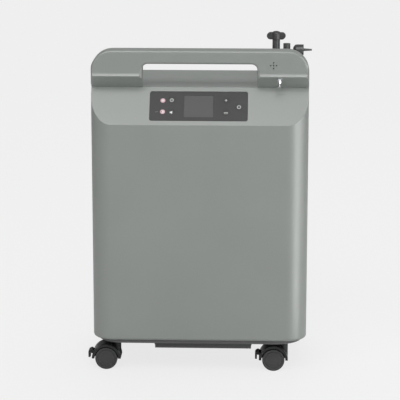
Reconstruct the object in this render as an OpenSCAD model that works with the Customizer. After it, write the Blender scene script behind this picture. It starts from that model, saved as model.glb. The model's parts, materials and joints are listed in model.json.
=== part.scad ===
// Bedside oxygen concentrator on four casters.
// The origin is on the floor, midway across the width and the depth.
// +X is to the right seen from the front, +Y to the rear and +Z up.
// Values that end in _d are depths, counted from the front face to the rear.

/* [Casing] */
// Width of the casing
case_w = 380; // [370:1:420]
// Depth of the casing
case_d = 275; // [272:1:320]
// Height of the casing's lower edge above the floor
case_z = 63; // [61:1:80]
// Height of the deck above the casing's lower edge
deck_h = 448; // [440:1:500]
// Wall thickness of the moulded covers
wall = 3; // [2.5:0.5:4]
// Radius of the casing's upright corners
corner_r = 37; // [30:1:45]
// Radius of the roll along the casing's lower edge
foot_r = 5; // [4:0.5:6]
// Radius of the roll along the deck's edges
deck_r = 28; // [20:1:32]
// Width of the flange that turns in along the casing's lower edge
flange_w = 16; // [14:1:20]

/* [Control facet] */
// Height of the facet's lower edge below the deck
facet_h = 60; // [54:1:70]
// Depth of the facet's upper edge behind the front face
facet_d = 45; // [40:1:55]
// Width of the control panel
panel_w = 171; // [165:1:200]
// Height of the control panel, measured up the slope
panel_h = 58; // [56:1:64]
// Thickness of the panel's cover plate
panel_t = 1.8; // [1.5:0.1:2.2]
// Width of the display window
display_w = 51; // [44:1:60]
// Height of the display window, measured up the slope
display_h = 42; // [36:1:46]
// Depth of the panel's face below the facet
panel_sink = 0.8; // [0:0.1:1]
// Diameter of a key
key_dia = 11; // [9:0.5:12]
// Travel of a key
key_travel = 0.8; // [0.5:0.1:1]
// Diameter of an indicator lamp
lamp_dia = 8.5; // [7:0.5:9]

/* [Handle] */
// Depth of the handle's front face behind the front face
handle_d = 22; // [18:1:26]
// Thickness of the handle from front to back
handle_t = 36; // [34:1:44]
// Height of the handle's top above the deck
handle_h = 67; // [64:1:80]
// Height of the grip bar
bar_h = 24; // [22:1:30]
// Width of the hand slot
slot_w = 200; // [170:1:202]
// Radius of the hand slot's upper corners
slot_r = 10; // [6:1:14]
// Radius of the handle's top corners
handle_r = 38; // [24:1:42]
// Radius of the roll along the handle's outer edges
handle_edge_r = 4; // [3.5:0.5:8]
// Radius of the round along the hand slot's edges
slot_edge_r = 4.5; // [3:0.5:5]
// Height of the groove under the handle's front face
groove_h = 22; // [19:1:25]
// How far the handle's lower edge flares out over the groove
lip_out = 2.5; // [1:0.5:4]
// Height of that flare
lip_h = 7; // [5:1:10]
// Radius of the lip's edge
lip_r = 1.5; // [1:0.5:2]
// Distance from the right side to the sound holes' centre
sound_inset = 62; // [58:1:66]
// Distance from the right side to the oxygen outlet's axis
outlet_inset = 52; // [46:1:54]
// Diameter of the oxygen outlet's plain tube
outlet_dia = 6; // [5:0.5:7]
// Length of the oxygen outlet outside the wall
outlet_len = 16; // [15:1:24]
// Distance from the groove's middle up to the outlet's axis, along the groove
outlet_up = 9; // [0:1:9]

/* [Humidifier] */
// Distance from the right side to the bottle's axis
bottle_inset = 57; // [55:1:58]
// Distance from the rear face to the bottle's axis
bottle_rear = 45; // [42:1:50]
// Outer diameter of the bottle
bottle_dia = 60; // [54:1:60]
// Wall thickness of the bottle
bottle_wall = 2; // [1.5:0.5:3]
// Height of the niche's floor below the deck
niche_h = 114; // [100:1:130]
// Clearance between the bottle and the niche
niche_gap = 3.5; // [3:0.5:5]
// Height of the cup that keeps the bottle in the niche
cup_h = 23; // [15:1:35]
// Height of the lid's top above the deck
lid_top = 38; // [34:1:42]
// Height of the lid
lid_h = 21; // [18:1:24]
// Span of the wing nut's wings
wing_span = 34; // [30:1:38]
// Height of the wing nut's head
wing_h = 16; // [12:1:18]
// Diameter of the wing nut's stem
wing_stem_dia = 14; // [12:1:16]

/* [Casters] */
// Diameter of a wheel
wheel_dia = 40; // [38:1:44]
// Width of one wheel
wheel_w = 15; // [12:1:18]
// Distance from the swivel axis to the wheel axle
trail = 18; // [17:1:21]
// Thickness of the hood over the wheels
hood_t = 4.5; // [3:0.5:6]
// Thickness of the web between the two wheels
web_t = 6; // [5:1:8]
// Diameter of the axle
axle_dia = 6; // [5:0.5:8]
// Diameter of the swivel stem
stem_dia = 8; // [7:0.5:10]
// Distance from the casing's sides to the swivel axes
caster_inset = 40; // [38:1:44]
// Distance from the casing's front and rear faces to the swivel axes
caster_inset_d = 46; // [44:1:52]
// Thickness of the base plate
base_t = 7; // [6:1:9]
// Inset of the base plate from the casing's outline
base_inset = 8; // [7:1:10]
// Radius of the base plate's corners
base_corner_r = 46; // [30:1:50]

/* [Air intake and mains] */
// Width of the filter door
door_w = 130; // [110:1:140]
// Height of the filter door
door_h = 140; // [120:1:150]
// Number of louvre slots in the filter door
door_slots = 9; // [5:1:11]
// Thickness of the intake filter's foam
foam_t = 9; // [6:1:10]
// Number of exhaust slots in the rear cover
exhaust_slots = 8; // [4:1:10]

/* [Air system] */
// Outer diameter of a sieve bed
bed_dia = 68; // [60:1:70]
// Clearance between the valve manifold and the deck's underside
manifold_gap = 5; // [3:1:30]
// Outer diameter of the compressor's motor
motor_dia = 96; // [86:1:100]
// Size of the cooling fan's frame
fan_size = 120; // [110:1:124]
// Depth of the cooling fan's frame
fan_t = 38; // [25:1:38]
// Height of the chassis shelf above the base plate
shelf_h = 216; // [212:1:222]
// Number of fins on each cylinder head
head_fins = 6; // [4:1:8]

/* [Hidden] */
$fn = 64;

// Colours
case_grey = [0.54, 0.56, 0.54];
panel_grey = [0.33, 0.34, 0.33];
dark_grey = [0.27, 0.27, 0.27];
black = [0.12, 0.12, 0.12];
steel = [0.75, 0.76, 0.78];

// Small gap between pieces of one body, running clearance of pins, and overlap of joined shapes
gap = 0.3;
running = 0.05;
over = 0.01;

// Casing
half_w = case_w / 2;
half_d = case_d / 2;
deck_z = case_z + deck_h;
shoulder_z = deck_z - deck_r - 2;
facet_z = deck_z - facet_h;
facet_slope = facet_h / facet_d;
facet_a = atan(facet_slope);
facet_len = norm([facet_d, facet_h]);
facet_drop = wall / cos(facet_a);
lip_inset = foot_r + flange_w;

// Handle
handle_top = deck_z + handle_h;
bar_z = handle_top - bar_h;
handle_back = handle_d + handle_t;
groove_z = deck_z + groove_h;
lip_d = handle_d - lip_out;
groove_a = atan2(groove_h, facet_d - lip_d);
sound_x = half_w - sound_inset;
sound_z = (bar_z + groove_z) / 2 + 9;
outlet_x = half_w - outlet_inset;

// Panel keys and lamps, as [x, distance up the slope from the facet's lower edge]
panel_mid = facet_len / 2;
panel_at = [-1.5, panel_mid];
key_t = 1.4;
board_gap = key_t + key_travel + 1;
power_at = [68.5, panel_mid - 1];
plus_at = [46, panel_mid + 12];
minus_at = [46, panel_mid - 12];
timer_at = [-48.5, panel_mid + 12];
mute_at = [-48.5, panel_mid - 12];
lamps_at = [[-64, panel_mid + 11], [-64, panel_mid - 11]];
keys_at = [power_at, plus_at, minus_at, timer_at, mute_at];
display_r = 2;
panel_r = 4;

// Humidifier
bottle_x = half_w - bottle_inset;
bottle_d = case_d - bottle_rear;
bottle_r = bottle_dia / 2;
niche_r = bottle_r + niche_gap;
niche_z = deck_z - niche_h;
lid_z = deck_z + lid_top;
lid_r = bottle_r + 2;
neck_r = bottle_r - 3;
neck_z = lid_z - lid_h;
lid_t = 4;
spigot_r = 3;

// Base and casters
base_z = case_z - base_t;
wheel_r = wheel_dia / 2;
hood_in = wheel_r + 1.5;
hood_out = hood_in + hood_t;
stem_collar_t = 2;
frame_top = base_z - stem_collar_t - gap;
socket_h = 18;
caster_x = half_w - caster_inset;
caster_d = caster_inset_d;
frame_half_w = web_t / 2 + wheel_w + 0.6;
duct_x = 6.5;
duct_w = 173;
duct_d = 14;
duct_len = 200;
duct_h = 10.4;

// Rear side
door_x = -83;
door_z = deck_z - 141;
door_t = 3;
exhaust_x = -50;
exhaust_z = case_z + 34;
exhaust_w = 150;
exhaust_pitch = 9;
inlet_x = 120;
inlet_z = case_z + 56;
inlet_w = 48;
inlet_h = 27;
breaker_x = inlet_x - 46;
breaker_r = 6;

// Inside
shelf_z = case_z + shelf_h;
shelf_t = 2;
shelf_top = shelf_z + shelf_t;
chassis_w = 330;
comp_d = half_d;
foot_z = case_z + 20;
foot_t = 4;
motor_z = foot_z + foot_t + motor_dia / 2 + 2;
head_x = 67;
head_z = motor_z + motor_dia / 2 - 6;
head_r = 28;
bed_rear = 55;
bed_d = case_d - bed_rear;
cap_r = bed_dia / 2 + 2;
plate_d = 30;
coil_r = 4;
coil_pitch = 22;
coil_clear = 10;
coil_rear = bed_d - cap_r - coil_clear;
coil_rows = 1 + floor((coil_rear - plate_d - shelf_t - coil_clear - 2 * coil_r) / coil_pitch);
fan_d = coil_rear - coil_r - (coil_rows - 1) * coil_pitch / 2;
bed_pitch = 2 * cap_r + 4;
bed_x = -145;
manifold_h = 22;
bed_top = deck_z - wall - manifold_gap - manifold_h;
bed_h = bed_top - shelf_top;
tank_x = bed_x + 2 * bed_pitch;
filter_stand_d = 62;

// ---------- shared helpers ----------

// Moves to x, depth from the front face, and height.
module at(x, d, z) {
    translate([x, d - half_d, z]) children();
}

// Extrudes an outline of depth and height along X, centred.
module across(len) {
    rotate([90, 0, 90]) linear_extrude(len, center = true) children();
}

// Extrudes an outline of x and height to the rear, starting at depth 0 of its place.
module rearward(len) {
    rotate([90, 0, 0]) translate([0, 0, -len]) linear_extrude(len) children();
}

function unit(v) = v / norm(v);

// Points of an arc, from angle a to angle b.
function arc(cx, cy, r, a, b, n = 8) =
    [for (i = [0 : n]) [cx + r * cos(a + (b - a) * i / n), cy + r * sin(a + (b - a) * i / n)]];

// Points that round the corner at b of an outline that runs from a over b to c.
function round_at(a, b, c, r, n = 6) =
    let (u = unit(a - b), v = unit(c - b), half = acos(u * v) / 2,
         m = b + unit(u + v) * r / sin(half), p = b + u * r / tan(half) - m,
         q = b + v * r / tan(half) - m, t = atan2(p[0] * q[1] - p[1] * q[0], p * q))
    [for (i = [0 : n]) m + [p[0] * cos(t * i / n) - p[1] * sin(t * i / n),
        p[0] * sin(t * i / n) + p[1] * cos(t * i / n)]];

// Outline of a rectangle with round corners, centred.
module rounded_outline(w, h, r) {
    union() {
        square([w - 2 * r, h], center = true);
        square([w, h - 2 * r], center = true);
        for (sx = [-1, 1], sy = [-1, 1])
            translate([sx * (w / 2 - r), sy * (h / 2 - r)]) circle(r);
    }
}

// Upright block with round corners, whose edge at the bottom is rolled by f.
module rolled_block(w, d, r, f, h) {
    profile = concat([[0, 0]], arc(r - f, f, f, -90, 0), [[r, h], [0, h]]);
    for (sx = [0, 1], sy = [0, 1])
        mirror([sx, 0, 0]) mirror([0, sy, 0]) translate([w / 2 - r, d / 2 - r, 0])
            rotate_extrude(angle = 90) polygon(profile);
    for (sx = [0, 1])
        mirror([sx, 0, 0]) translate([w / 2 - r, d / 2 - r, 0])
            rotate([90, 0, 0]) linear_extrude(d - 2 * r) polygon(profile);
    for (sy = [0, 1])
        mirror([0, sy, 0]) translate([r - w / 2, d / 2 - r, 0])
            rotate([90, 0, 90]) linear_extrude(w - 2 * r) polygon(profile);
    translate([r - w / 2, r - d / 2, 0]) cube([w - 2 * r, d - 2 * r, h]);
}

// Place on the control facet: x along it, y up the slope, z straight out of it.
module on_facet(p) {
    at(0, 0, facet_z) rotate([facet_a, 0, 0]) translate([p[0], p[1], 0]) children();
}

// The same place on the panel's face, which lies a little below the facet.
module on_panel(p) {
    on_facet(p) translate([0, 0, -panel_sink]) children();
}

// Frame of a ring of points round a path point, square to the path's direction.
function side_of(t) = unit(abs(t[2]) > 0.9 ? cross(t, [0, 1, 0]) : cross(t, [0, 0, 1]));
function direction(p, i) = unit(p[min(i + 1, len(p) - 1)] - p[max(i - 1, 0)]);

// Round tube swept along a path of points.
module swept(path, r, sides = 8) {
    rings = [for (i = [0 : len(path) - 1])
        let (t = direction(path, i), u = side_of(t), v = cross(t, u))
        for (k = [0 : sides - 1])
            path[i] + r * (cos(360 * k / sides) * u + sin(360 * k / sides) * v)];
    last = (len(path) - 1) * sides;
    faces = concat(
        [[for (k = [0 : sides - 1]) k]],
        [for (i = [0 : len(path) - 2], k = [0 : sides - 1])
            let (j = (k + 1) % sides, a = i * sides, b = a + sides)
            each [[a + k, b + k, b + j], [a + k, b + j, a + j]]],
        [[for (k = [sides - 1 : -1 : 0]) last + k]]);
    polyhedron(rings, faces, convexity = 4);
}

// ---------- casing ----------

// The casing as a solid block inset by i, up to height top.
module casing_block(i, top) {
    at(0, half_d, case_z + i)
        rolled_block(case_w - 2 * i, case_d - 2 * i, corner_r - i, foot_r - i, top - case_z - i);
}

// The block under the deck, inset by i, whose upper edge is rolled.
module deck_block(i) {
    at(0, half_d, deck_z - i) mirror([0, 0, 1])
        rolled_block(case_w - 2 * i, case_d - 2 * i, corner_r - i, deck_r - i,
            deck_z - shoulder_z - i + (i > 0 ? 1 : 0));
}

// Room inside the covers, with the opening in the turned-in lower flange.
module casing_cavity() {
    casing_block(wall, deck_z + 1);
    at(0, half_d, case_z - 1) linear_extrude(wall + 2)
        rounded_outline(case_w - 2 * lip_inset, case_d - 2 * lip_inset, corner_r - lip_inset);
}

// Places of the screws that hold the covers down to the base plate, as [x, depth].
screw_inset = foot_r + flange_w / 2;
cover_screw_places = concat(
    [for (x = [-100, 0, 100], d = [screw_inset, case_d - screw_inset]) [x, d]],
    [for (x = [screw_inset - half_w, half_w - screw_inset], d = [90, case_d - 90]) [x, d]]);
screw_r = 2;
boss_h = 12;

// Screw bosses on the lower flange, between two depths.
module screw_bosses(from_d, to_d) {
    for (p = cover_screw_places)
        if (p[1] > from_d && p[1] < to_d) at(p[0], p[1], case_z) cylinder(r = 4.5, h = boss_h);
}

module screw_holes(r) {
    for (p = cover_screw_places) at(p[0], p[1], base_z - 1) cylinder(r = r, h = base_t + boss_h - 1);
}

// Grooves along the joints between the covers.
seam_w = 1.2;
seam_t = 0.8;
module split_groove() difference() {
    at(-half_w - 1, half_d - seam_w / 2, case_z - 1) cube([case_w + 2, seam_w, deck_h]);
    casing_block(seam_t, deck_z);
}

module shoulder_groove() difference() {
    at(-half_w - 1, facet_d, shoulder_z - seam_w / 2) cube([case_w + 2, case_d, seam_w]);
    casing_block(seam_t, deck_z);
}

module front_cover() color(case_grey) difference() {
    union() {
        difference() {
            intersection() {
                casing_block(0, deck_z);
                translate([0, -half_d, 0]) across(case_w + 2) polygon([
                    [-1, case_z - 1], [-1, facet_z - facet_slope], [facet_d, deck_z],
                    [facet_d, shoulder_z], [half_d, shoulder_z], [half_d, case_z - 1]]);
            }
            intersection() {
                casing_cavity();
                translate([0, -half_d, 0]) across(case_w) polygon([
                    [-1, case_z - 2], [-1, facet_z - facet_slope - facet_drop],
                    [facet_d, deck_z - facet_drop], [half_d + 1, deck_z - facet_drop],
                    [half_d + 1, case_z - 2]]);
            }
        }
        intersection() {
            screw_bosses(0, half_d);
            casing_block(over, shoulder_z);
        }
    }
    screw_holes(screw_r);
    on_panel(panel_at) translate([0, 0, -panel_t]) linear_extrude(panel_t + panel_sink + 1)
        rounded_outline(panel_w, panel_h, panel_r);
    on_facet(panel_at) translate([0, 0, -wall - 1])
        linear_extrude(wall + 1) rounded_outline(panel_w - 16, panel_h - 12, panel_r);
    split_groove();
    shoulder_groove();
}

// The niche's inner room: a round cup below, open to the rear above it.
module niche_room(top) {
    at(bottle_x, bottle_d, niche_z) cylinder(r = niche_r, h = top - niche_z);
    at(bottle_x - niche_r, bottle_d, niche_z + cup_h)
        cube([2 * niche_r, bottle_rear + 1, top - niche_z - cup_h]);
}

module niche_walls() intersection() {
    union() {
        at(bottle_x, bottle_d, niche_z - wall)
            cylinder(r = niche_r + wall, h = deck_z - niche_z);
        at(bottle_x - niche_r - wall, bottle_d, niche_z - wall)
            cube([2 * (niche_r + wall), bottle_rear, deck_z - niche_z]);
    }
    union() {
        casing_block(over, shoulder_z);
        deck_block(wall + gap);
    }
}

// Frame on the inside of the rear wall that holds the intake filter and its door.
pocket_depth = door_t + foam_t + wall;
hinge_r = 2.5;
hinge_z = door_z - door_h / 2 + hinge_r;
hinge_d = case_d - hinge_r - 0.1;
pin_r = 1.5;
pin_len = 4;

module rear_box(w, h, x, z, depth, out = 1) {
    at(x - w / 2, case_d - depth, z - h / 2) cube([w, depth + out, h]);
}

module filter_pocket_frame() intersection() {
    rear_box(door_w + 12, door_h + 10, door_x, door_z, pocket_depth);
    casing_block(over, shoulder_z);
}

module filter_pocket_room() {
    rear_box(door_w + 2 * gap, door_h + 3 * gap, door_x, door_z, door_t + 2.3);
    rear_box(door_w - 8, door_h - 12, door_x, door_z, door_t + foam_t);
    for (i = [-2 : 2])
        rear_box(door_w - 20, 16, door_x, door_z + 24 * i, pocket_depth + 1);
    at(door_x, hinge_d, hinge_z) rotate([0, 90, 0])
        cylinder(r = pin_r + running, h = door_w + 2 * pin_len, center = true);
}

module exhaust_slots_cut() {
    for (i = [0 : exhaust_slots - 1])
        at(exhaust_x, case_d - wall - 2, exhaust_z + i * exhaust_pitch) rearward(wall + 4)
            rounded_outline(exhaust_w, 4, 1.9);
}

module rear_cover() color(case_grey) difference() {
    union() {
        difference() {
            intersection() {
                casing_block(0, shoulder_z);
                at(-half_w - 1, half_d, case_z - 1) cube([case_w + 2, half_d + 1, deck_h]);
            }
            casing_cavity();
        }
        niche_walls();
        filter_pocket_frame();
        intersection() {
            screw_bosses(half_d, case_d);
            casing_block(over, shoulder_z);
        }
    }
    niche_room(deck_z + 1);
    filter_pocket_room();
    exhaust_slots_cut();
    screw_holes(screw_r);
    rear_box(inlet_w + gap, inlet_h + gap, inlet_x, inlet_z, 2);
    rear_box(inlet_w - 8, inlet_h - 6, inlet_x, inlet_z, wall + 1);
    at(breaker_x, case_d - wall - 1, inlet_z) rearward(wall + 2) circle(breaker_r + 0.1);
    split_groove();
    shoulder_groove();
}

// Outline of the handle seen from the side, with the groove under its front face.
flare_a = 2 * atan(lip_out / lip_h);
flare_r = lip_h / sin(flare_a);
flare_end_a = 2 * atan(lip_r / flare_r) - flare_a;
handle_outline = concat(
    [[facet_d, shoulder_z], [facet_d, deck_z]],
    round_at([facet_d, deck_z], [lip_d, groove_z],
        [lip_d + lip_r * sin(flare_a), groove_z + lip_r * cos(flare_a)], lip_r),
    arc(handle_d - flare_r, groove_z + lip_h, flare_r, flare_end_a, 0, 6),
    [[handle_d, handle_top + 1], [handle_back + 1, handle_top + 1],
     [handle_back + 1, shoulder_z]]);

// Height of the inner face of the groove's wall at a depth.
function groove_inner(d) = groove_z + wall * cos(groove_a)
    - tan(groove_a) * (d - lip_d - wall * sin(groove_a));

handle_room_outline = [
    [facet_d, shoulder_z - 1], [facet_d, groove_inner(facet_d)],
    [handle_d + wall, groove_inner(handle_d + wall)],
    [handle_d + wall, handle_top - handle_edge_r],
    [handle_d + handle_edge_r, handle_top - wall],
    [handle_back - handle_edge_r, handle_top - wall],
    [handle_back - wall, handle_top - handle_edge_r], [handle_back - wall, shoulder_z - 1]];

// Upright plate between the handle's front and back faces, with a roll round both faces.
module handle_plate() {
    h = handle_h + 100;
    for (s = [0, 1])
        at(0, s * handle_back + (1 - s) * handle_d, handle_top - h / 2) mirror([0, s, 0])
            rotate([-90, 0, 0]) rolled_block(case_w, h, handle_r, handle_edge_r, handle_t / 2 + over);
}

// The handle's outline from the front and from above, inset by i.
module handle_bounds(i) intersection() {
    at(0, 0, handle_top - handle_h / 2 - 50) rearward(half_d)
        rounded_outline(case_w - 2 * i, handle_h + 100 - 2 * i, handle_r - i);
    at(0, half_d, shoulder_z - 2) linear_extrude(handle_top)
        rounded_outline(case_w - 2 * i, case_d - 2 * i, corner_r - i);
}

// The slot's outline above the deck, with round upper corners.
module slot_outline() {
    half = slot_w / 2;
    translate([-half, deck_z]) square([slot_w, bar_z - slot_r - deck_z]);
    translate([slot_r - half, deck_z]) square([slot_w - 2 * slot_r, bar_z - deck_z]);
    for (s = [-1, 1]) translate([s * (half - slot_r), bar_z - slot_r]) circle(slot_r);
}

module hand_slot() {
    at(0, lip_d - 1, 0) rearward(handle_t + lip_out + 2) slot_outline();
}

// What a round takes off an edge: distance from the slot's wall, then from the handle's face.
function slot_round(wall_at) = concat(
    [[wall_at - 1, -lip_out - 1], [wall_at + slot_edge_r, -lip_out - 1]],
    arc(wall_at + slot_edge_r, slot_edge_r, slot_edge_r, 270, 180),
    [[wall_at - 1, slot_edge_r + 1]]);

// Rounds the slot's edges on the handle's front and back faces.
module slot_rounds() {
    half = slot_w / 2;
    for (back = [0, 1], side = [0, 1])
        at(0, back * handle_back + (1 - back) * handle_d, 0)
            mirror([side, 0, 0]) mirror([0, back, 0]) {
                translate([half - slot_r, 0, bar_z - slot_r]) rotate([90, 0, 0])
                    rotate_extrude(angle = 90)
                        polygon([for (p = slot_round(slot_r)) [p[0], -p[1]]]);
                translate([half, 0, deck_z]) linear_extrude(bar_z - slot_r - deck_z)
                    polygon(slot_round(0));
                translate([(half - slot_r) / 2, 0, bar_z]) across(half - slot_r)
                    polygon([for (p = slot_round(0)) [p[1], p[0]]]);
            }
}

// Room inside the two posts and the grip bar.
module handle_room() intersection() {
    handle_bounds(wall);
    difference() {
        translate([0, -half_d, 0]) across(case_w) polygon(handle_room_outline);
        at(-slot_w / 2 - wall, 0, shoulder_z - 2)
            cube([slot_w + 2 * wall, half_d, bar_z + wall - shoulder_z + 2]);
    }
}

module sound_holes() {
    for (p = [[0, 0], [5, 0], [-5, 0], [0, 5], [0, -5]])
        at(sound_x + p[0], handle_d - 1, sound_z + p[1]) rearward(wall + 2) circle(1.3);
}

// Place of the outlet on the groove's slanting wall, z straight out of it.
outlet_d = (lip_d + facet_d) / 2 - outlet_up * cos(groove_a);
outlet_z = (deck_z + groove_z) / 2 + outlet_up * sin(groove_a);
module on_groove() {
    at(outlet_x, outlet_d, outlet_z) rotate([180 - groove_a, 0, 0]) children();
}

module top_cover() color(case_grey) difference() {
    union() {
        intersection() {
            deck_block(0);
            at(-half_w - 1, facet_d, shoulder_z) cube([case_w + 2, case_d, deck_r + 3]);
        }
        intersection() {
            translate([0, -half_d, 0]) across(case_w + 2) polygon(handle_outline);
            union() {
                handle_plate();
                at(-half_w, lip_d, groove_z - lip_h) cube([case_w, lip_out + 6, 2 * lip_h]);
            }
            handle_bounds(0);
        }
    }
    intersection() {
        deck_block(wall);
        at(-half_w, facet_d - 1, shoulder_z - 1) cube([case_w, case_d, deck_r + 2]);
    }
    handle_room();
    hand_slot();
    slot_rounds();
    niche_room(deck_z + 1);
    sound_holes();
    on_groove() translate([0, 0, -wall - 4]) cylinder(r = 4.05, h = wall + 8);
    shoulder_groove();
}

// ---------- base ----------

module base_outline(inset) {
    rounded_outline(case_w - 2 * inset, case_d - 2 * inset, base_corner_r);
}

caster_places = [[-1, 0], [1, 0], [-1, 1], [1, 1]];

// Swivel axis of a caster, from its place: side -1 or 1, row 0 in front or 1 behind.
module at_caster(p) {
    at(p[0] * caster_x, p[1] == 0 ? caster_d : case_d - caster_d, 0) children();
}

spring_places = [for (x = [-84, 84], d = [-42, 42]) [x, comp_d + d]];

module base_plate() color(dark_grey) difference() {
    union() {
        at(0, half_d, base_z) linear_extrude(base_t) base_outline(base_inset);
        for (p = caster_places) at_caster(p) translate([0, 0, case_z - over])
            cylinder(r = stem_dia / 2 + 4, h = socket_h);
        for (p = spring_places) at(p[0], p[1], case_z - over) cylinder(r = 5, h = 6);
    }
    for (p = caster_places) at_caster(p) translate([0, 0, base_z - 1])
        cylinder(r = stem_dia / 2 + 0.02, h = socket_h + base_t - 3);
    screw_holes(screw_r + 0.3);
    for (x = [-60 : 15 : 60])
        at(duct_x + x - 4, duct_d + 60, base_z - 1) cube([8, 90, base_t + 2]);
}

module exhaust_duct() color(dark_grey) difference() {
    union() {
        at(duct_x - duct_w / 2, duct_d, base_z - 4) cube([duct_w, duct_len, 4]);
        at(duct_x - duct_w / 2 + 1, duct_d + 1, base_z - duct_h)
            cube([duct_w - 2, duct_len - 2, duct_h - 4 + over]);
    }
    at(duct_x - duct_w / 2 + 4, duct_d + 4, base_z - duct_h + 2)
        cube([duct_w - 8, duct_len, duct_h]);
    for (i = [0 : 5])
        at(duct_x - 60, duct_d + duct_len - 74 + 11 * i, base_z - duct_h - 1) cube([120, 5, 4]);
}

module cover_screws() color(steel) {
    for (p = cover_screw_places) at(p[0], p[1], base_z) {
        translate([0, 0, 1]) cylinder(r = screw_r, h = base_t + boss_h - 5);
        cylinder(r1 = 2.2, r2 = screw_r, h = 1 + over);
    }
}

// Folded sheet: a shelf on two legs, with an upright plate for the main board.
leg_d = 60;
leg_end_d = case_d - 60;
plate_w = 220;
plate_h = 150;
module chassis_frame() color(steel) difference() {
    union() {
        at(-chassis_w / 2, plate_d, shelf_z) cube([chassis_w, case_d - 13 - plate_d, shelf_t]);
        for (s = [0, 1]) mirror([s, 0, 0]) {
            at(chassis_w / 2 - shelf_t, leg_d, case_z)
                cube([shelf_t, leg_end_d - leg_d, shelf_h + over]);
            at(chassis_w / 2 - 12, leg_d, case_z) cube([12, leg_end_d - leg_d, shelf_t]);
        }
        at(-plate_w / 2, plate_d, shelf_z) cube([plate_w, shelf_t, plate_h]);
    }
    at(0, fan_d, shelf_z - 1) cylinder(r = fan_size / 2 - 3, h = shelf_t + 2);
    for (s = [-1, 1]) at(s * chassis_w / 2, half_d, case_z + shelf_h / 2) rotate([0, 90, 0])
        cylinder(r = 45, h = 3 * shelf_t, center = true);
}

// ---------- control panel ----------

module key_holes(r, depth) {
    for (p = keys_at) on_panel(p) translate([0, 0, -depth]) cylinder(r = r, h = depth + 1);
}

module panel_overlay() color(panel_grey) difference() {
    on_panel(panel_at) translate([0, 0, -panel_t])
        linear_extrude(panel_t) rounded_outline(panel_w, panel_h, panel_r);
    key_holes(key_dia / 2 + 0.2, panel_t + 1);
    on_panel(panel_at) translate([0, 0, -panel_t - 1])
        linear_extrude(panel_t + 2) rounded_outline(display_w, display_h, display_r);
    for (p = lamps_at) on_panel(p) translate([0, 0, -panel_t - 1])
        cylinder(r = lamp_dia / 2 + running, h = panel_t + 2);
}

module display_window() color([0.42, 0.42, 0.42]) on_panel(panel_at)
    translate([0, 0, -panel_t]) linear_extrude(panel_t - 0.2)
        rounded_outline(display_w - 0.2, display_h - 0.2, display_r);

board_w = panel_w - 22;
board_h = panel_h - 16;
module control_board() color([0.1, 0.35, 0.2]) {
    on_panel(panel_at) translate([0, 0, -panel_t - board_gap - 1.6]) {
        translate([-board_w / 2, -board_h / 2, 0]) cube([board_w, board_h, 1.6]);
        translate([-display_w / 2 - 1, 2 - board_h / 2, over])
            cube([display_w + 2, board_h - 4, board_gap + 1.6 - over]);
        for (sx = [-1, 1], sy = [-1, 1])
            translate([sx * (board_w / 2 - 1.6), sy * (board_h / 2 - 1.6), 0])
                cylinder(r = 1.5, h = board_gap + 1.6);
    }
    for (p = keys_at) on_panel(p) translate([0, 0, -panel_t - board_gap - over])
        cylinder(r = 3, h = board_gap - key_t - 0.2 - key_travel - 0.1);
}

// A key: a cap flush with the panel and a collar that keeps it from falling out.
module key(p) color(dark_grey) on_panel(p) {
    translate([0, 0, -panel_t - 0.2 - key_t]) cylinder(r = key_dia / 2 + 1.2, h = key_t);
    translate([0, 0, -panel_t - 0.2 - over]) cylinder(r = key_dia / 2, h = panel_t + 0.2);
}

module power_button() key(power_at);
module plus_button() key(plus_at);
module minus_button() key(minus_at);
module timer_button() key(timer_at);
module mute_button() key(mute_at);

module indicator_lenses() color([0.9, 0.8, 0.8]) {
    for (p = lamps_at) on_panel(p) translate([0, 0, -panel_t - board_gap])
        cylinder(r = lamp_dia / 2, h = panel_t + board_gap + 0.3);
}

module speaker() color(black) {
    at(sound_x, handle_d + wall, sound_z) rearward(3) circle(14);
    at(sound_x, handle_d + wall + 3 - over, sound_z) rearward(6) circle(9);
}

// Barbed outlet of polished metal, with a nut on the wall and a tail for the hose inside.
outlet_nut_h = 2.6;
tip_len = 3.5;
barb_h = 3.6;
module oxygen_outlet() color([0.8, 0.8, 0.82]) on_groove() {
    r = outlet_dia / 2;
    neck = r - 0.8;
    barb_at = (outlet_nut_h + outlet_len - tip_len - barb_h) / 2;
    translate([0, 0, -wall - 9]) cylinder(r = r, h = wall + 9 + over);
    translate([0, 0, -wall - 1]) cylinder(r = 4, h = wall + 1 + over);
    cylinder(r = 4.6, h = outlet_nut_h, $fn = 6);
    translate([0, 0, over]) cylinder(r = neck, h = outlet_len - 1);
    translate([0, 0, barb_at]) cylinder(r1 = r + 1, r2 = neck, h = barb_h);
    translate([0, 0, outlet_len - tip_len]) cylinder(r = r, h = tip_len);
}

// ---------- humidifier ----------

module on_bottle(z) {
    at(bottle_x, bottle_d, z) children();
}

module humidifier_bottle() color([0.85, 0.9, 0.95, 0.5]) on_bottle(niche_z + gap)
    rotate_extrude() {
        r = bottle_r;
        h = neck_z - niche_z - gap;
        top = h + lid_h - lid_t - gap;
        polygon(concat(
            [[0, 3], [r - 8, 1], [r - 7, 0]], arc(r - 3, 3, 3, -90, 0, 4),
            arc(r - 4, h - 7, 4, 0, 60, 4),
            [[neck_r, h - 1], [neck_r, top], [neck_r - bottle_wall, top],
             [neck_r - bottle_wall, h - 2], [r - bottle_wall, h - 9],
             [r - bottle_wall, 5], [r - 7, bottle_wall + 1], [0, bottle_wall + 3]]));
    }

module humidifier_lid() color(black) difference() {
    on_bottle(neck_z) rotate_extrude() polygon([
        [0, lid_h - lid_t], [neck_r + 0.1, lid_h - lid_t], [neck_r + 0.1, 0], [lid_r, 0],
        [lid_r, lid_h - 4], [lid_r - 4, lid_h], [0, lid_h]]);
    on_bottle(neck_z) for (i = [0 : 23]) rotate(15 * i) translate([lid_r + 0.6, 0, 2])
        cylinder(r = 1.4, h = lid_h - 8, $fn = 16);
    on_bottle(lid_z - lid_t - 1) cylinder(r = spigot_r + running, h = lid_t + 2);
}

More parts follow.
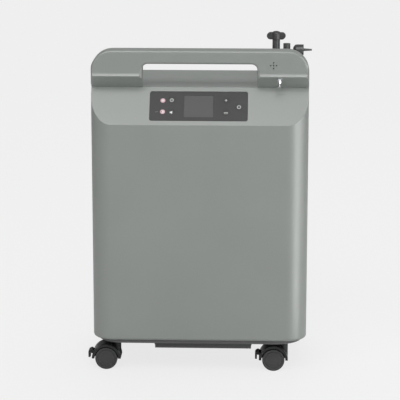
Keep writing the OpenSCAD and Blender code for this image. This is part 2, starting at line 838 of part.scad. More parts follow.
// Tube with a bubbling stone at its lower end and a collar under the lid.
module bubble_tube() color([0.8, 0.85, 0.9]) {
    on_bottle(niche_z + 8) cylinder(r = 6, h = 12);
    on_bottle(niche_z + 8) cylinder(r = 2.6, h = lid_z - lid_t - niche_z - 8);
    on_bottle(lid_z - lid_t - 3) cylinder(r = 6, h = 3);
}

wing_stem_h = 22;
wing_t = 7.5;
lobe_r = 6.5;
wing_turn = -8;

// Outline of the two wings, with round ends.
module wings(r) {
    reach = wing_span / 2 - lobe_r;
    square([2 * reach, 2 * r], center = true);
    for (s = [-1, 1]) translate([s * reach, 0]) circle(r);
}

module wing_nut() color(black) on_bottle(lid_z) {
    r = wing_stem_dia / 2;
    knob_r = r + 1;
    translate([0, 0, 0.5 - lid_t]) cylinder(r = spigot_r, h = lid_t);
    difference() {
        translate([0, 0, gap]) cylinder(r = r, h = wing_stem_h + 2);
        for (i = [0 : 11]) rotate(30 * i) translate([r + 0.4, 0, -1])
            cylinder(r = 1.1, h = wing_stem_h, $fn = 16);
    }
    dome_h = 4;
    translate([0, 0, wing_stem_h]) rotate_extrude() polygon(concat(
        [[0, 0], [knob_r - 1, 0], [knob_r, 1]],
        [for (i = [0 : 4]) [knob_r * cos(20 * i), wing_h - dome_h + dome_h * sin(20 * i)]],
        [[0, wing_h]]));
    translate([0, 0, wing_stem_h + lobe_r + 0.5]) rotate([90, 0, wing_turn]) {
        linear_extrude(wing_t, center = true) wings(lobe_r);
        linear_extrude(wing_t + 2, center = true) wings(lobe_r - 1.5);
    }
}

module relief_valve() color(black) on_bottle(lid_z) translate([19.5, 0, 0]) difference() {
    union() {
        cylinder(r = 5.2, h = 4);
        translate([0, 0, 4 - over]) cylinder(r = 6.5, h = 11);
    }
    for (i = [0 : 11]) rotate(30 * i) translate([6.9, 0, 5])
        cylinder(r = 0.9, h = 12, $fn = 16);
}

// Side outlet: a round boss with a domed back, a thin barb, and a neck into the lid.
port_x = bottle_x + lid_r - 1.2;
port_z = lid_z + 3.5;
port_r = 9.7;
port_len = 19.5;
barb_tip_x = 198.5;
module humidifier_outlet() color(black) difference() {
    union() {
        at(port_x, bottle_d, port_z) rotate([0, 90, 0]) rotate_extrude() polygon(concat(
            [[0, 0]], [for (i = [1 : 8]) [port_r * sin(90 * i / 8), 7 * (1 - cos(90 * i / 8))]],
            [[port_r, port_len], [2.6, port_len], [1.6, barb_tip_x - port_x],
             [0, barb_tip_x - port_x]]));
        at(port_x - 2, bottle_d, port_z - 7) rotate([0, 90, 0]) cylinder(r = 3, h = 12);
    }
    on_bottle(neck_z - 1) cylinder(r = lid_r, h = lid_h + 1);
}

// ---------- rear side ----------

module filter_door() color(case_grey) difference() {
    union() {
        rear_box(door_w - 1, door_h - hinge_r, door_x, door_z + hinge_r / 2, door_t, 0);
        at(door_x, hinge_d, hinge_z) rotate([0, 90, 0])
            cylinder(r = hinge_r, h = door_w - 1, center = true);
        at(door_x, hinge_d, hinge_z) rotate([0, 90, 0])
            cylinder(r = pin_r, h = door_w + 2 * pin_len - 1, center = true);
        at(door_x, case_d - door_t, door_z + door_h / 2 - 12) rearward(door_t)
            rounded_outline(34, 10, 3);
    }
    slots_h = door_h - 50;
    for (i = [0 : door_slots - 1])
        at(door_x, case_d - door_t - 1, door_z - slots_h / 2 + i * slots_h / (door_slots - 1))
            rotate([-30, 0, 0]) translate([0, -3, 0]) rearward(door_t + 8)
                rounded_outline(door_w - 26, 4, 1.9);
    at(door_x, case_d - 1.5, door_z + door_h / 2 - 12) rearward(2) rounded_outline(28, 5, 2.4);
}

module intake_filter() color([0.2, 0.2, 0.2])
    rear_box(door_w - 9, door_h - 13, door_x, door_z, door_t + foam_t, -door_t - gap);

// Mains inlet: a flange let into the rear wall, a socket and three blades.
module power_inlet() color(black) {
    difference() {
        union() {
            rear_box(inlet_w, inlet_h, inlet_x, inlet_z, 2, 0);
            rear_box(inlet_w - 9, inlet_h - 7, inlet_x, inlet_z, 24, 0);
        }
        rear_box(24, 16.5, inlet_x, inlet_z, 21, 1);
    }
    for (p = [[-7, -2.5], [0, 2.5], [7, -2.5]])
        at(inlet_x + p[0] - 1, case_d - 22, inlet_z + p[1] - 2) cube([2, 16, 4]);
}

module circuit_breaker() color(black) difference() {
    union() {
        at(breaker_x, case_d - 24, inlet_z) rearward(23) circle(breaker_r);
        at(breaker_x, case_d - wall - 2, inlet_z) rearward(2) circle(breaker_r + 3);
    }
    at(breaker_x, case_d - 14, inlet_z) rearward(15) circle(3.5);
}

module breaker_button() color([0.85, 0.85, 0.85])
    at(breaker_x, case_d - 11.8, inlet_z) rearward(11.6) circle(3.4);

// ---------- air system ----------

// Cylinder lying along X, centred.
module bar(r, len) {
    rotate([0, 90, 0]) cylinder(r = r, h = len, center = true);
}

module at_compressor(z = 0) {
    at(0, comp_d, z) children();
}

crank_r = 38;
crank_len = 53;
motor_len = 2 * (head_x - head_r - 1);
foot_w = 200;
foot_len = 104;
module compressor() color([0.6, 0.6, 0.62]) {
    at_compressor(motor_z) {
        bar(motor_dia / 2, motor_len);
        for (s = [-1, 1]) translate([s * (motor_len / 2 + crank_len / 2 - 1), 0, 0])
            bar(crank_r, crank_len);
        for (a = [20 : 20 : 160]) rotate([a, 0, 0]) translate([0, motor_dia / 2, 0])
            cube([motor_len - 10, 5, 2], center = true);
    }
    for (s = [-1, 1]) at_compressor(motor_z) translate([s * head_x, 0, 0])
        cylinder(r = head_r - 6, h = head_z - motor_z);
    at(-foot_w / 2, comp_d - foot_len / 2, foot_z) cube([foot_w, foot_len, foot_t]);
    for (s = [-1, 1]) at(s * motor_len / 3 - 4, comp_d - motor_dia / 3, foot_z + foot_t - over)
        cube([8, motor_dia * 2 / 3, motor_dia / 4]);
}

fin_pitch = 4.5;
module cylinder_heads() color([0.7, 0.7, 0.72]) {
    h = head_fins * fin_pitch;
    for (s = [-1, 1]) at_compressor(head_z) translate([s * head_x, 0, 0]) {
        cylinder(r = head_r - 6, h = h + 6);
        for (i = [0 : head_fins - 1]) translate([0, 0, i * fin_pitch + 1])
            cylinder(r = head_r, h = 2);
        translate([0, 0, h + 6 - over]) cylinder(r = 12, h = 5);
    }
    at_compressor(head_z + h + 1) bar(4, 2 * (head_x - head_r + 8));
}

// Coil spring standing on z = 0.
spring_turns = 4;
module coil_spring(r, wire, h) {
    steps = spring_turns * 12;
    path = [for (i = [0 : steps]) [r * cos(30 * i), r * sin(30 * i), wire + (h - 2 * wire) * i / steps]];
    swept(path, wire, 6);
}

module compressor_springs() color(steel) {
    for (p = spring_places) at(p[0], p[1], case_z + 0.1) coil_spring(7.2, 1.2, foot_z - case_z - 0.2);
}

module fan_frame() color(black) {
    h = fan_size;
    difference() {
        at(-h / 2, fan_d - h / 2, shelf_z - fan_t) cube([h, h, fan_t]);
        at(0, fan_d, shelf_z - fan_t - 1) cylinder(r = h / 2 - 3, h = fan_t + 2);
    }
    at(0, fan_d, shelf_z - fan_t) {
        cylinder(r = 20, h = 4);
        cylinder(r = 2, h = fan_t - 6);
        for (a = [45 : 90 : 315]) rotate(a) translate([18, -2, 0]) cube([h / 2 - 19, 4, 4]);
    }
}

fan_blades = 7;
module fan_rotor() color([0.2, 0.2, 0.22]) at(0, fan_d, shelf_z - fan_t + 5) {
    difference() {
        cylinder(r = 19, h = fan_t - 10);
        translate([0, 0, -1]) cylinder(r = 2 + running, h = fan_t - 8);
    }
    intersection() {
        difference() {
            cylinder(r = fan_size / 2 - 5, h = fan_t - 10);
            translate([0, 0, -1]) cylinder(r = 18.5, h = fan_t);
        }
        for (i = [0 : fan_blades - 1]) rotate(i * 360 / fan_blades) translate([15, 0, (fan_t - 10) / 2])
            rotate([38, 0, 0]) translate([0, -22, -1]) cube([fan_size / 2, 44, 2]);
    }
}

coil_run = 112;
module cooling_coil() color([0.8, 0.5, 0.3]) at(0, fan_d, shelf_top + coil_r + 0.1) {
    for (i = [0 : coil_rows - 1]) {
        y = (i - (coil_rows - 1) / 2) * coil_pitch;
        translate([0, y, 0]) bar(coil_r, coil_run);
        if (i < coil_rows - 1) translate([(i % 2 == 0 ? 1 : -1) * coil_run / 2, y + coil_pitch / 2, 0])
            rotate(i % 2 == 0 ? -90 : 90) rotate_extrude(angle = 180)
                translate([coil_pitch / 2, 0]) circle(coil_r);
    }
}

bed_cap_h = 14;
module bed(r) {
    cylinder(r = r, h = bed_h);
    for (z = [0, bed_h - bed_cap_h]) translate([0, 0, z]) cylinder(r = cap_r, h = bed_cap_h);
}

module sieve_beds() color([0.8, 0.8, 0.8]) {
    for (i = [0, 1]) at(bed_x + i * bed_pitch, bed_d, shelf_top) bed(bed_dia / 2);
}

module valve_manifold() color([0.3, 0.3, 0.32]) {
    at(bed_x - 28, bed_d - 20, bed_top) cube([bed_pitch + 56, 40, manifold_h]);
    for (i = [-1, 0, 1]) at(bed_x + bed_pitch / 2 + i * 30, bed_d - 50, bed_top + manifold_h / 2)
        rearward(31) circle(9);
}

tank_h = bed_h - 24;
module product_tank() color([0.85, 0.85, 0.85]) at(tank_x, bed_d, shelf_top) {
    cylinder(r = bed_dia / 2, h = tank_h - 8);
    translate([0, 0, tank_h - 8 - over])
        cylinder(r1 = bed_dia / 2, r2 = bed_dia / 2 - 10, h = 8);
}

module pressure_regulator() color([0.8, 0.7, 0.4]) at(tank_x, bed_d, shelf_top + tank_h) {
    cylinder(r = 8, h = 10);
    translate([0, 0, 10 - over]) cylinder(r = 15, h = 14);
    translate([0, -26, 17]) rotate([-90, 0, 0]) cylinder(r = 4, h = 26);
}

filter_h = 60;
module bacteria_filter() color([0.9, 0.92, 0.95]) at(outlet_x, filter_stand_d, shelf_top)
    rotate_extrude() polygon([[0, 0], [10, 0], [10, 4], [6, 6], [6, 12], [24, 22], [24, 36],
        [6, 46], [3.5, filter_h], [0, filter_h]]);

board_standoff = 8;
module main_board() color([0.1, 0.35, 0.2]) {
    w = plate_w - 40;
    at(-w / 2, plate_d - board_standoff, shelf_top + 20) cube([w, 1.6, 110]);
    for (x = [-1, 1], z = [28, 122]) at(x * (w / 2 - 8), plate_d - board_standoff, shelf_top + z)
        rearward(board_standoff) circle(3);
    at(-w / 2 + 12, plate_d - board_standoff - 18, shelf_top + 32) cube([50, 18 + over, 40]);
    at(w / 2 - 60, plate_d - board_standoff - 14, shelf_top + 30) cube([44, 14 + over, 60]);
    for (i = [0 : 2]) at(-10 + i * 18, plate_d - board_standoff - 16, shelf_top + 105)
        rearward(16 + over) circle(7);
}

module run_capacitor() color([0.75, 0.76, 0.78]) at(-140, 90, shelf_top) {
    cylinder(r = 20, h = 66);
    for (x = [-6, 6]) translate([x - 3, -0.4, 66 - over]) cube([6, 0.8, 9]);
}

muffler_r = 20;
module exhaust_muffler() color(black) at(-60, case_d - 42, case_z + muffler_r + 0.1) {
    bar(muffler_r, 90);
    bar(6, 114);
}

// Hoses, as [radius, points]; points are depths from the front like everything else.
hose_r = 3.2;
tail = wall + 9;
function tail_point(l) = [outlet_x, outlet_d + l * sin(groove_a), outlet_z + l * cos(groove_a)];
outlet_hose = [
    tail_point(tail), tail_point(tail + 4),
    tail_point(tail + 6) + [0, 2, -0.4], tail_point(tail + 6) + [0, 4.4, -3],
    [outlet_x, handle_back - 8, groove_z - 8], [outlet_x, handle_back - 8, deck_z - 10],
    [outlet_x, filter_stand_d - 6, deck_z - 50], [outlet_x, filter_stand_d - 1, deck_z - 90],
    [outlet_x, filter_stand_d, shelf_top + filter_h + 30],
    [outlet_x, filter_stand_d, shelf_top + filter_h]];
product_hose = [
    [tank_x, bed_d - 26, shelf_top + tank_h + 17], [tank_x, bed_d - 34, shelf_top + tank_h + 17],
    [tank_x + 6, bed_d - 44, shelf_top + tank_h + 12], [tank_x + 20, bed_d - 60, shelf_top + 120],
    [outlet_x - 40, 150, shelf_top + 60], [outlet_x - 20, 130, shelf_top + 14],
    [outlet_x - 10, 100, shelf_top + 5], [outlet_x - 16, filter_stand_d + 24, shelf_top + 4]];

module air_hoses() color([0.9, 0.9, 0.88]) translate([0, -half_d, 0]) {
    swept(outlet_hose, hose_r);
    swept(product_hose, hose_r);
}

// ---------- casters ----------

// A caster is drawn with its swivel axis on Z and the floor at z = 0; the wheels trail to -X.
pin_reach = hood_out + 3.6;
pin_a = 159;
lever_w = 15;
lever_pin_r = 1.5;
lever_reach = 33;
lever_t = 3.6;

module at_axle() {
    translate([-trail, 0, wheel_r]) children();
}

// Cylinder lying along Y, centred.
module axle_bar(r, len) {
    rotate([90, 0, 0]) cylinder(r = r, h = len, center = true);
}

module at_lever_pin() {
    at_axle() translate([pin_reach * cos(pin_a), 0, pin_reach * sin(pin_a)]) children();
}

// Two ears on the hood with the pin of the brake lever between them.
module lever_ears() {
    for (s = [-1, 1]) at_axle() translate([0, s * (lever_w / 2 + 1.3), 0])
        rotate([90, 0, 0]) linear_extrude(2, center = true) {
            translate([pin_reach * cos(pin_a), pin_reach * sin(pin_a)]) circle(3);
            rotate(pin_a) translate([hood_in + 1, -2.6]) square([pin_reach - hood_in - 1, 5.2]);
        }
    at_lever_pin() axle_bar(lever_pin_r, lever_w + 4);
}

// Hood, web, axle and swivel housing.
hood_len = 2 * frame_half_w;
module caster_frame(brake) color(black) {
    difference() {
        union() {
            difference() {
                at_axle() axle_bar(hood_out, hood_len);
                translate([-trail - 50, -50, wheel_r - 100]) cube([100, 100, 100]);
            }
            translate([0, 0, wheel_r]) cylinder(r = stem_dia / 2 + 4, h = frame_top - wheel_r);
            if (brake) lever_ears();
        }
        for (s = [-1, 1]) at_axle() translate([0, s * (web_t / 2 + 25), 0]) axle_bar(hood_in, 50);
        translate([0, 0, frame_top - 14]) cylinder(r = stem_dia / 2 + running, h = 15);
    }
    at_axle() axle_bar(axle_dia / 2 + 4, web_t);
    at_axle() axle_bar(axle_dia / 2, web_t + 2 * (wheel_w - cap_t));
}

module caster_frame_fl() at_caster(caster_places[0]) caster_frame(true);
module caster_frame_fr() at_caster(caster_places[1]) caster_frame(true);
module caster_frame_rl() at_caster(caster_places[2]) caster_frame(false);
module caster_frame_rr() at_caster(caster_places[3]) caster_frame(false);

// One wheel: a tread with rounded shoulders, a dished face, and a hub closed on its outer side.
tread_r = 1.6;
cap_t = 1.8;
module wheel(side) color(dark_grey) at_axle() translate([0, side * (web_t / 2 + gap), 0])
    rotate([-90 * side, 0, 0]) rotate_extrude() difference() {
        w = wheel_w;
        bore = axle_dia / 2 + running;
        polygon(concat(
            [[bore, 0]], arc(wheel_r - tread_r, tread_r, tread_r, -90, 0, 4),
            arc(wheel_r - tread_r, w - tread_r, tread_r, 0, 90, 4),
            [[wheel_r - 3.4, w], [wheel_r - 4, w - 0.8], [wheel_r - 5, w - 0.8],
             [wheel_r - 5.6, w - 0.3], [bore + 3, w - 0.1], [0, w - 0.1],
             [0, w - cap_t], [bore, w - cap_t]]));
        translate([bore + 3, -1]) square([wheel_r - bore - 7.5, 5]);
    }

module wheel_fl_front() at_caster(caster_places[0]) wheel(-1);
module wheel_fl_rear() at_caster(caster_places[0]) wheel(1);
module wheel_fr_front() at_caster(caster_places[1]) wheel(-1);
module wheel_fr_rear() at_caster(caster_places[1]) wheel(1);
module wheel_rl_front() at_caster(caster_places[2]) wheel(-1);
module wheel_rl_rear() at_caster(caster_places[2]) wheel(1);
module wheel_rr_front() at_caster(caster_places[3]) wheel(-1);
module wheel_rr_rear() at_caster(caster_places[3]) wheel(1);

// Hooked pedal that turns on the pin between the ears.
module brake_lever() color(black) difference() {
    union() {
        at_lever_pin() axle_bar(3, lever_w);
        at_axle() rotate([90, 0, 0]) translate([0, 0, -lever_w / 2])
            linear_extrude(lever_w) polygon(concat(
                [[pin_reach * cos(pin_a), pin_reach * sin(pin_a) + 2.9]],
                arc(4.5 - lever_reach, pin_reach * sin(pin_a) - 1.6, 4.5, 95, 180, 5),
                [[-lever_reach, 0], [0.8 - lever_reach, -0.8], [lever_t - lever_reach, -0.8],
                 [lever_t - lever_reach, 8],
                 [pin_reach * cos(pin_a) + 0.5, pin_reach * sin(pin_a) - 2.6]]));
    }
    at_lever_pin() axle_bar(lever_pin_r + running, lever_w + 2);
}

module brake_lever_fl() at_caster(caster_places[0]) brake_lever();
module brake_lever_fr() at_caster(caster_places[1]) brake_lever();

// Steel stems: pressed into the base plate above a collar, and turning in the frames below it.
module caster_stems() color(steel) for (p = caster_places) at_caster(p) {
    translate([0, 0, frame_top - 12]) cylinder(r = stem_dia / 2, h = base_z - frame_top + 12 + socket_h);
    translate([0, 0, base_z - stem_collar_t]) cylinder(r = stem_dia / 2 + 3, h = stem_collar_t);
}

front_cover();
rear_cover();
top_cover();
base_plate();
exhaust_duct();
cover_screws();
chassis_frame();
panel_overlay();
display_window();
control_board();
power_button();
plus_button();
minus_button();
timer_button();
mute_button();
indicator_lenses();
speaker();
oxygen_outlet();
humidifier_bottle();
humidifier_lid();
bubble_tube();
wing_nut();
relief_valve();
humidifier_outlet();
filter_door();
intake_filter();
power_inlet();
circuit_breaker();
breaker_button();
compressor();
cylinder_heads();
compressor_springs();
fan_frame();
fan_rotor();
cooling_coil();
sieve_beds();
valve_manifold();
product_tank();
pressure_regulator();
bacteria_filter();
main_board();
run_capacitor();
exhaust_muffler();
air_hoses();
caster_stems();
caster_frame_fl();
caster_frame_fr();
caster_frame_rl();
caster_frame_rr();
wheel_fl_front();
wheel_fl_rear();
wheel_fr_front();
wheel_fr_rear();
wheel_rl_front();
wheel_rl_rear();
wheel_rr_front();
wheel_rr_rear();
brake_lever_fl();
brake_lever_fr();
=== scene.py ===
"""Looks of the oxygen concentrator: finishes, printed signs, filling marks, light and camera."""
import json
import math

import bpy
from mathutils import Matrix, Vector


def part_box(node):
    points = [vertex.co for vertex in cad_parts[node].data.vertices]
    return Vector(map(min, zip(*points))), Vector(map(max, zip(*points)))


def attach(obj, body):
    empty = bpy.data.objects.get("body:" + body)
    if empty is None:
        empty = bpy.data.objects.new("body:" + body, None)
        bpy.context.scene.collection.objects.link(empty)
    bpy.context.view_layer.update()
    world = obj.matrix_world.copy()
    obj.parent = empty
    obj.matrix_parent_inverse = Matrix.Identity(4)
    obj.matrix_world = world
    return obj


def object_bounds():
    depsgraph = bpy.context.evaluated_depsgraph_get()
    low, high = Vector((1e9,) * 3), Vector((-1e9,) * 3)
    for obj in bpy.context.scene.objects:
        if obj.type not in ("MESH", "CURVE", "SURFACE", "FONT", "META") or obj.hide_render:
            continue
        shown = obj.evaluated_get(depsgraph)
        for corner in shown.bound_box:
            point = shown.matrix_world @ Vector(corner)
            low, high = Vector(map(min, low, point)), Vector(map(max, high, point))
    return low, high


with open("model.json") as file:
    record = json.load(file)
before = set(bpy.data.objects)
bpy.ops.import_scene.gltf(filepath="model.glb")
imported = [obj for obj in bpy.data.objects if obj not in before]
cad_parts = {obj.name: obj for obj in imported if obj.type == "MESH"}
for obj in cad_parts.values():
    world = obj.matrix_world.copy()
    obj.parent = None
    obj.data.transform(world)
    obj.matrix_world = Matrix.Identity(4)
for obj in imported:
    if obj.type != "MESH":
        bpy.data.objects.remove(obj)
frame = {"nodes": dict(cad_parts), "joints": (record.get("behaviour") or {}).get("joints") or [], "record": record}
nodes = frame["nodes"]
cad_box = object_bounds()
MM = 0.001


# ---------- places taken from the frame ----------

def joint(name):
    return next(j for j in frame["joints"] if j["name"] == name)


def box_middle(points):
    """Centre of the upright box around some points."""
    low = Vector([min(p[i] for p in points) for i in range(3)])
    high = Vector([max(p[i] for p in points) for i in range(3)])
    return (low + high) / 2


def outer_face(node, out):
    """Centre of a node's outermost face in a direction."""
    points = [v.co for v in nodes[node].data.vertices]
    reach = max(p.dot(out) for p in points)
    return box_middle([p for p in points if p.dot(out) > reach - 0.01 * MM])


def lens_centres():
    """Centres of the two lamp lenses, the upper one first."""
    points = [v.co for v in nodes["indicator_lenses"].data.vertices]
    middle = (max(p.z for p in points) + min(p.z for p in points)) / 2
    upper = [p for p in points if p.z > middle]
    lower = [p for p in points if p.z <= middle]
    return box_middle(upper), box_middle(lower)


case_low, case_high = (Vector(c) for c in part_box("front_cover"))
facet_out = -Vector(joint("plus_button_press")["axis"]).normalized()
facet_right = Vector((1, 0, 0))
facet_up = facet_out.cross(facet_right)


# ---------- materials ----------

def shader_node(tree, kind, inputs=(), **settings):
    """A new shader node. Its inputs are (name, value) pairs, and a value that is a socket is linked."""
    node = tree.nodes.new(kind)
    for key, value in settings.items():
        setattr(node, key, value)
    for name, value in inputs:
        if isinstance(value, bpy.types.NodeSocket):
            tree.links.new(value, node.inputs[name])
        else:
            node.inputs[name].default_value = value
    return node


class Finish:
    """A node material with shared helpers for colour, roughness and fine relief."""

    def __init__(self, name):
        self.material = bpy.data.materials.new(name)
        self.material.use_nodes = True
        self.tree = self.material.node_tree
        self.shader = self.tree.nodes["Principled BSDF"]
        self.place = self.add("ShaderNodeTexCoord").outputs["Object"]
        self.normal = None

    def add(self, kind, *inputs, **settings):
        return shader_node(self.tree, kind, inputs, **settings)

    def feed(self, name, socket):
        self.tree.links.new(socket, self.shader.inputs[name])

    def set(self, **values):
        """Values that are the same all over; an underscore stands for a space."""
        for key, value in values.items():
            self.shader.inputs[key.replace("_", " ")].default_value = value

    def noise(self, scale, detail=2.0, stretch=(1, 1, 1)):
        """Noise by place. A large stretch makes it finer along that axis."""
        mapping = self.add("ShaderNodeMapping", ("Vector", self.place), ("Scale", stretch))
        noise = self.add("ShaderNodeTexNoise", ("Vector", mapping.outputs["Vector"]),
                         ("Scale", scale), ("Detail", detail))
        return noise.outputs["Fac"]

    def ramp(self, factor, first, last):
        """A blend of two colours, each a pair of its position and its colour."""
        ramp = self.add("ShaderNodeValToRGB", ("Fac", factor))
        for element, (position, colour) in zip(ramp.color_ramp.elements, (first, last)):
            element.position = position
            element.color = (*colour, 1)
        return ramp.outputs["Color"]

    def colour(self, base, spread=0.03, scale=7.0):
        """Base colour with a slow, slight variation."""
        dark = [c * (1 - spread) for c in base]
        light = [c * (1 + spread) for c in base]
        self.feed("Base Color", self.ramp(self.noise(scale), (0.35, dark), (0.65, light)))

    def roughness(self, low, high, scale=40.0, stretch=(1, 1, 1)):
        """Roughness that varies between two values."""
        noise = self.noise(scale, 3, stretch)
        self.feed("Roughness", self.ramp(noise, (0.3, [low] * 3), (0.7, [high] * 3)))

    def soft_edges(self, radius):
        """Edges shade as if rounded: radius in millimetres."""
        self.normal = self.add("ShaderNodeBevel", ("Radius", radius * MM), samples=4).outputs[0]
        self.feed("Normal", self.normal)

    def grain(self, size, depth, stretch=(1, 1, 1)):
        """Fine relief: size of a grain and its depth, both in millimetres."""
        bump = self.add("ShaderNodeBump", ("Strength", 1.0), ("Distance", depth * MM),
                        ("Height", self.noise(1 / (size * MM), 1, stretch)))
        if self.normal is not None:
            self.tree.links.new(self.normal, bump.inputs["Normal"])
        self.normal = bump.outputs["Normal"]
        self.feed("Normal", self.normal)


def moulded(name, base, rough=(0.42, 0.5), grain=(0.9, 0.03), spread=0.02, level=0.4):
    """Injection-moulded plastic with an even, fine texture and slightly rounded edges."""
    finish = Finish(name)
    finish.soft_edges(0.4)
    finish.colour(base, spread)
    finish.roughness(*rough)
    finish.grain(*grain)
    finish.set(Specular_IOR_Level=level)
    return finish.material


def metal(name, base, rough=(0.25, 0.35), grain=(0.5, 0.01), stretch=(1, 1, 1)):
    """Bare metal. A stretch makes its brushed grain finer along an axis."""
    finish = Finish(name)
    finish.colour(base, 0.03, 30)
    finish.roughness(*rough, 60, stretch)
    finish.grain(*grain, stretch)
    finish.set(Metallic=1.0)
    return finish.material


def clear(name, base):
    """Clear plastic with a faint waviness."""
    finish = Finish(name)
    finish.colour(base, 0.01)
    finish.grain(6, 0.02)
    finish.set(Transmission_Weight=1.0, Roughness=0.04, IOR=1.49)
    return finish.material


def foam(name, base):
    """Open-cell foam: coarse cells with finer ones in them."""
    finish = Finish(name)
    finish.colour(base, 0.25, 300)
    finish.grain(1.4, 0.6)
    finish.grain(0.5, 0.2)
    finish.set(Roughness=0.95, Specular_IOR_Level=0.2)
    return finish.material


def lens(name, painted_highlight_colour, painted_rim_shade_colour, radius=4.4):
    """The two round lamp lenses, with a painted highlight in their middle and painted shade at their rim."""
    finish = Finish(name)
    nearest = finish.add("ShaderNodeMath", operation="MINIMUM")
    for centre, socket in zip(lens_centres(), nearest.inputs):
        away = finish.add("ShaderNodeVectorMath", (0, finish.place), (1, centre),
                          operation="DISTANCE")
        finish.tree.links.new(away.outputs["Value"], socket)
    share = finish.add("ShaderNodeMapRange", ("Value", nearest.outputs[0]),
                       ("From Max", radius * MM))
    # Painted highlight and shade: the base colour is pale near each lens's middle and darker towards its rim.
    finish.feed("Base Color", finish.ramp(share.outputs[0], (0.5, painted_highlight_colour), (1.0, painted_rim_shade_colour)))
    finish.roughness(0.2, 0.3)
    finish.grain(2.0, 0.01)
    return finish.material


def ink(name, base):
    """Matt paint of a printed sign."""
    return moulded(name, base, (0.45, 0.55), (0.4, 0.01))


PANEL = (0.052, 0.052, 0.052)
materials = {
    "case": moulded("case", (0.262, 0.282, 0.266), (0.34, 0.40), (0.8, 0.012), level=0.9),
    "base": moulded("base", (0.140, 0.142, 0.141), (0.5, 0.6)),
    "duct": moulded("duct", (0.082, 0.084, 0.083), (0.5, 0.6)),
    "steel": metal("steel", (0.60, 0.61, 0.63)),
    "panel": moulded("panel", PANEL, (0.42, 0.5), (0.6, 0.008), level=0.3),
    "display": moulded("display", (0.089, 0.089, 0.089), (0.3, 0.36), (2.0, 0.003), 0.01, 0.3),
    "circuit": moulded("circuit", (0.02, 0.13, 0.05), (0.3, 0.45)),
    "keys": moulded("keys", PANEL, (0.42, 0.5), (0.6, 0.008), level=0.3),
    # lamps: painted highlight in each lens's middle, painted shade at its rim
    "lamps": lens("lamps", (0.97, 0.85, 0.88), (0.62, 0.40, 0.44)),
    "black_plastic": moulded("black_plastic", (0.058, 0.059, 0.059), (0.3, 0.42), level=0.6),
    "white_plastic": moulded("white_plastic", (0.70, 0.71, 0.72), (0.35, 0.45)),
    "chrome": metal("chrome", (0.86, 0.87, 0.88), (0.06, 0.12)),
    "clear_plastic": clear("clear_plastic", (0.93, 0.96, 0.98)),
    "foam": foam("foam", (0.03, 0.03, 0.032)),
    "cast_metal": metal("cast_metal", (0.45, 0.46, 0.48), (0.45, 0.6), (1.5, 0.12)),
    "aluminium": metal("aluminium", (0.72, 0.73, 0.74), (0.28, 0.4), stretch=(1, 1, 12)),
    "copper": metal("copper", (0.76, 0.36, 0.22), (0.25, 0.4)),
    "brass": metal("brass", (0.70, 0.52, 0.22), (0.25, 0.4)),
    "hose": moulded("hose", (0.68, 0.68, 0.64), (0.4, 0.5)),
    "caster_frame": moulded("caster_frame", (0.020, 0.021, 0.021), (0.3, 0.42)),
    "wheel": moulded("wheel", (0.056, 0.056, 0.057), (0.5, 0.62), (0.5, 0.04)),
}
for part in frame["record"]["subparts"]:
    mesh = nodes[part["node"]].data
    mesh.materials.clear()
    mesh.materials.append(materials[part["material_slot"]])

white_ink = ink("white_ink", (0.85, 0.87, 0.86))
pale_ink = ink("ink", (0.50, 0.52, 0.50))
grey_ink = ink("grey_ink", (0.40, 0.41, 0.40))
faint_ink = ink("faint_ink", (0.15, 0.155, 0.15))


# ---------- pieces ----------

def add_piece(name, mesh, body, material):
    """Adds a mesh as a piece that rides on a body."""
    mesh.materials.append(material)
    piece = bpy.data.objects.new(name, mesh)
    bpy.context.scene.collection.objects.link(piece)
    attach(piece, body)


def circle_points(radius, steps=40):
    turn = 2 * math.pi / steps
    return [(radius * math.cos(i * turn), radius * math.sin(i * turn)) for i in range(steps)]


def box_points(width, height, x=0.0, y=0.0, turn=0.0):
    """Corners of a box round the point (x, y), turned by some degrees."""
    c, s = math.cos(math.radians(turn)), math.sin(math.radians(turn))
    corners = [(-width / 2, -height / 2), (width / 2, -height / 2),
               (width / 2, height / 2), (-width / 2, height / 2)]
    return [(px * c - py * s + x, px * s + py * c + y) for px, py in corners]


def printed(name, loops, centre, body, material, height=0.15, bevel=0.04):
    """A thin raised sign on the facet. Its closed outlines, the inner ones cut out, its height and
    its bevel are in millimetres, and its centre is a place in the frame."""
    curve = bpy.data.curves.new(name, "CURVE")
    curve.dimensions = "2D"
    curve.fill_mode = "BOTH"
    curve.extrude = (height / 2 - bevel) * MM
    curve.bevel_depth = bevel * MM
    curve.bevel_resolution = 1
    for loop in loops:
        spline = curve.splines.new("POLY")
        spline.points.add(len(loop) - 1)
        for point, (x, y) in zip(spline.points, loop):
            point.co = (x * MM, y * MM, 0, 1)
        spline.use_cyclic_u = True
    shape = bpy.data.objects.new(name + "_curve", curve)
    bpy.context.scene.collection.objects.link(shape)
    turn = Matrix((facet_right, facet_up, facet_out)).transposed().to_4x4()
    shape.matrix_world = Matrix.Translation(centre + facet_out * height / 2 * MM) @ turn
    bpy.context.view_layer.update()
    depsgraph = bpy.context.evaluated_depsgraph_get()
    mesh = bpy.data.meshes.new_from_object(shape.evaluated_get(depsgraph))
    mesh.transform(shape.matrix_world)
    mesh.name = name
    mesh.materials.clear()
    bpy.data.objects.remove(shape)
    bpy.data.curves.remove(curve)
    add_piece(name, mesh, body, material)


